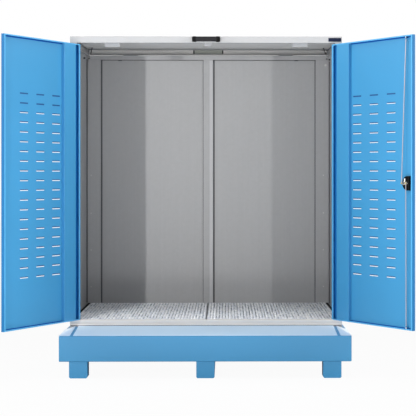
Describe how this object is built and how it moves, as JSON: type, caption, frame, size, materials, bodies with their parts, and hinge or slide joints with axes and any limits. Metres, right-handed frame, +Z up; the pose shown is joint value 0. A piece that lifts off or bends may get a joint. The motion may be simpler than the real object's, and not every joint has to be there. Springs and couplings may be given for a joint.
{
  "type": "hazardous drum store",
  "caption": "Steel drum store: a double-door cabinet with louvred doors and a lift-up lid on a spill sump with grating floor, ramped front cover and fork skids.",
  "frame": {"origin": "on the floor, on the underside of the centre skid, below the middle of the door opening in the cabinet's front plane", "axes": "+Z up, +Y from the doors towards the back wall, +X to the right as seen from the front"},
  "size_m": [2.389, 2.0137, 2.1095],
  "materials": {
    "blue_powder_coat": "semi-gloss powder coat",
    "grey_powder_coat": "satin powder coat",
    "galvanised_steel": "hot-dip galvanised",
    "black_plastic": "matt",
    "bright_steel": "zinc plated"
  },
  "bodies": {
    "base": {"sump_tank": "blue_powder_coat", "skid_left": "blue_powder_coat", "skid_centre": "blue_powder_coat", "skid_right": "blue_powder_coat", "front_cover": "blue_powder_coat", "front_cover_left_end": "blue_powder_coat", "front_cover_right_end": "blue_powder_coat", "base_frame": "galvanised_steel", "threshold_rail": "grey_powder_coat", "grating_left": "galvanised_steel", "grating_right": "galvanised_steel", "side_wall_left": "galvanised_steel", "side_wall_right": "galvanised_steel", "front_post_left": "grey_powder_coat", "front_post_right": "grey_powder_coat", "back_post_left": "galvanised_steel", "back_post_right": "galvanised_steel", "back_centre_post": "galvanised_steel", "back_panel_left": "galvanised_steel", "back_panel_right": "galvanised_steel", "front_header": "galvanised_steel", "back_top_rail": "galvanised_steel", "side_top_rail_left": "galvanised_steel", "side_top_rail_right": "galvanised_steel", "door_stop_left": "grey_powder_coat", "door_stop_right": "grey_powder_coat", "door_stop_centre": "grey_powder_coat", "left_hinge_1_fixed": "galvanised_steel", "left_hinge_2_fixed": "galvanised_steel", "left_hinge_3_fixed": "galvanised_steel", "right_hinge_1_fixed": "galvanised_steel", "right_hinge_2_fixed": "galvanised_steel", "right_hinge_3_fixed": "galvanised_steel", "lid_hinge_left_fixed": "galvanised_steel", "lid_hinge_right_fixed": "galvanised_steel"},
    "left_door": {"left_door_skin": "blue_powder_coat", "left_door_stile": "blue_powder_coat", "left_hinge_1_moving": "galvanised_steel", "left_hinge_2_moving": "galvanised_steel", "left_hinge_3_moving": "galvanised_steel"},
    "right_door": {"right_door_skin": "blue_powder_coat", "right_door_stile": "blue_powder_coat", "right_hinge_1_moving": "galvanised_steel", "right_hinge_2_moving": "galvanised_steel", "right_hinge_3_moving": "galvanised_steel", "lock_case": "black_plastic", "lock_escutcheon": "black_plastic", "key_cylinder": "bright_steel", "upper_rod_guide": "blue_powder_coat", "lower_rod_guide": "blue_powder_coat"},
    "lid": {"roof_lid": "grey_powder_coat", "lid_handle": "black_plastic", "lid_blank_plate": "black_plastic", "lid_back_plate": "galvanised_steel", "lid_hinge_left_moving": "galvanised_steel", "lid_hinge_right_moving": "galvanised_steel"},
    "lock": {"lock_handle": "black_plastic", "lock_cam": "bright_steel"},
    "upper_rod": {"upper_rod": "bright_steel"},
    "lower_rod": {"lower_rod": "bright_steel"}
  },
  "joints": [
    {"name": "left_door_swing", "type": "hinge", "parent": "base", "child": "left_door", "pos_m": [-0.807, -0.006, 1.18], "axis": [0, 0, 1], "range_deg": [-9.8, 117.2]},
    {"name": "right_door_swing", "type": "hinge", "parent": "base", "child": "right_door", "pos_m": [0.807, -0.006, 1.18], "axis": [0, 0, -1], "range_deg": [-5.8, 121.2]},
    {"name": "lid_lift", "type": "hinge", "parent": "base", "child": "lid", "pos_m": [0, 1.2545, 2.0695], "axis": [-1, 0, 0], "range_deg": [0, 75]},
    {"name": "lock_turn", "type": "hinge", "parent": "right_door", "child": "lock", "pos_m": [1.1862, -0.63212, 1.174], "axis": [0.8554, 0.518, 0], "range_deg": [0, 90]},
    {"name": "upper_rod_slide", "type": "slide", "parent": "right_door", "child": "upper_rod", "axis": [0, 0, 1], "range_m": [0, 0.02]},
    {"name": "lower_rod_slide", "type": "slide", "parent": "right_door", "child": "lower_rod", "axis": [0, 0, -1], "range_m": [0, 0.02]}
  ],
  "couplings": [
    {"joint": "lock_turn", "follows": "upper_rod_slide", "rad_per_m": 78.54},
    {"joint": "lower_rod_slide", "follows": "upper_rod_slide", "ratio": 1}
  ]
}
